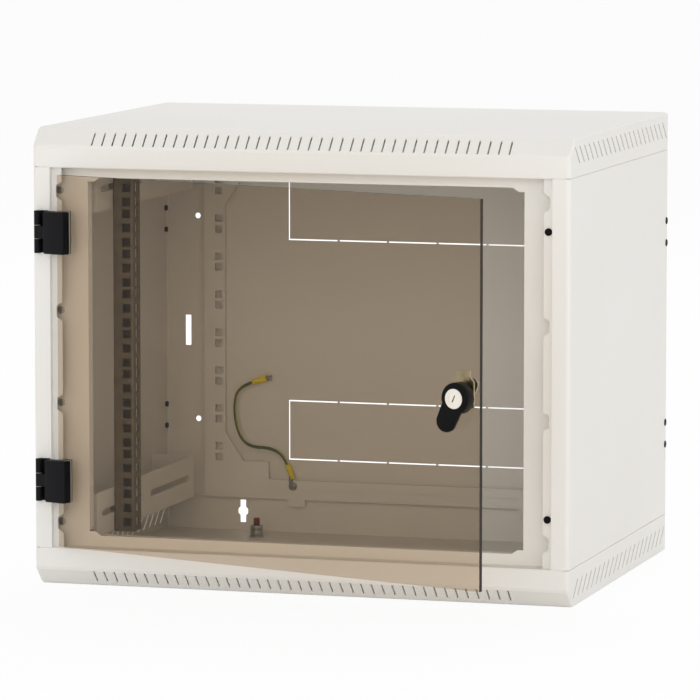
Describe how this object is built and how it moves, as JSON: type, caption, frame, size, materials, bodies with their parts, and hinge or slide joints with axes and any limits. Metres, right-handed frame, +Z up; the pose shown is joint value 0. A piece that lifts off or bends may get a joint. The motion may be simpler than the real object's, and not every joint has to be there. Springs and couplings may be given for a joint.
{
  "type": "wall mount rack cabinet",
  "caption": "Wall cabinet for 19 inch equipment: folded steel covers with vent slots, hinged tinted glass door with turn lock, perforated rails sliding on slotted brackets.",
  "frame": {"origin": "centre of the bottom face of the base cover", "axes": "+X to the right seen from the front, front faces -Y, +Z up"},
  "size_m": [0.602, 0.6425, 0.5],
  "materials": {
    "paint": "fine powder coat, satin",
    "galvanised": "galvanised sheet",
    "glass": "bronze tinted, polished",
    "black_plastic": "moulded, satin",
    "chrome": "satin nickel plate",
    "steel": "zinc plated",
    "rubber": "matte",
    "clear_pad": "translucent",
    "copper_plate": "copper plated thread",
    "lead": "green and yellow insulation",
    "yellow_sleeve": "moulded sleeve"
  },
  "bodies": {
    "cabinet": {"base_cover": "paint", "roof_cover": "paint", "side_panel_left": "paint", "side_panel_right": "paint", "hole_plugs_left": "black_plastic", "hole_plugs_right": "black_plastic", "front_frame": "paint", "frame_screws": "steel", "rear_frame": "paint", "rear_panel": "paint", "rail_bracket_bottom_left": "paint", "rail_bracket_bottom_right": "paint", "rail_bracket_top_left": "paint", "rail_bracket_top_right": "paint", "hinge_leaf_lower": "black_plastic", "hinge_leaf_upper": "black_plastic", "hinge_pin_lower": "steel", "hinge_pin_upper": "steel", "hinge_washers": "clear_pad", "door_bumpers": "rubber", "earth_stud": "copper_plate", "earth_washer": "steel", "earth_nut": "steel", "earth_lead": "lead", "ring_terminal": "yellow_sleeve", "ring_screw": "steel", "push_terminal": "yellow_sleeve", "earth_tab": "steel"},
    "door": {"door_glass": "glass", "hinge_block_lower": "black_plastic", "hinge_block_upper": "black_plastic", "hinge_pad_lower": "clear_pad", "hinge_pad_upper": "clear_pad", "hinge_clamp_lower": "black_plastic", "hinge_clamp_upper": "black_plastic", "hinge_screws": "steel", "lock_housing": "steel", "lock_nut": "steel"},
    "lever": {"lock_lever": "black_plastic", "lock_cylinder": "chrome", "lock_cam": "steel", "cam_screw": "steel"},
    "core": {"lock_core": "chrome"},
    "left_rail": {"rail_left": "galvanised", "rail_bolts_left": "steel", "rail_nuts_left": "steel"},
    "right_rail": {"rail_right": "galvanised", "rail_bolts_right": "steel", "rail_nuts_right": "steel"}
  },
  "joints": [
    {"name": "door_swing", "type": "hinge", "parent": "cabinet", "child": "door", "pos_m": [-0.2926, -0.231, 0.2528], "axis": [0, 0, -1], "range_deg": [-18.3, 161.7]},
    {"name": "lever_turn", "type": "hinge", "parent": "door", "child": "lever", "pos_m": [0.22864, -0.40338, 0.245], "axis": [0.314, 0.9494, 0], "range_deg": [-25, 65]},
    {"name": "key_turn", "type": "hinge", "parent": "lever", "child": "core", "pos_m": [0.22864, -0.40338, 0.245], "axis": [0.314, 0.9494, 0], "range_deg": [0, 90]},
    {"name": "left_rail_slide", "type": "slide", "parent": "cabinet", "child": "left_rail", "axis": [0, 1, 0], "range_m": [-0.047, 0.082]},
    {"name": "right_rail_slide", "type": "slide", "parent": "cabinet", "child": "right_rail", "axis": [0, 1, 0], "range_m": [-0.047, 0.082]}
  ]
}
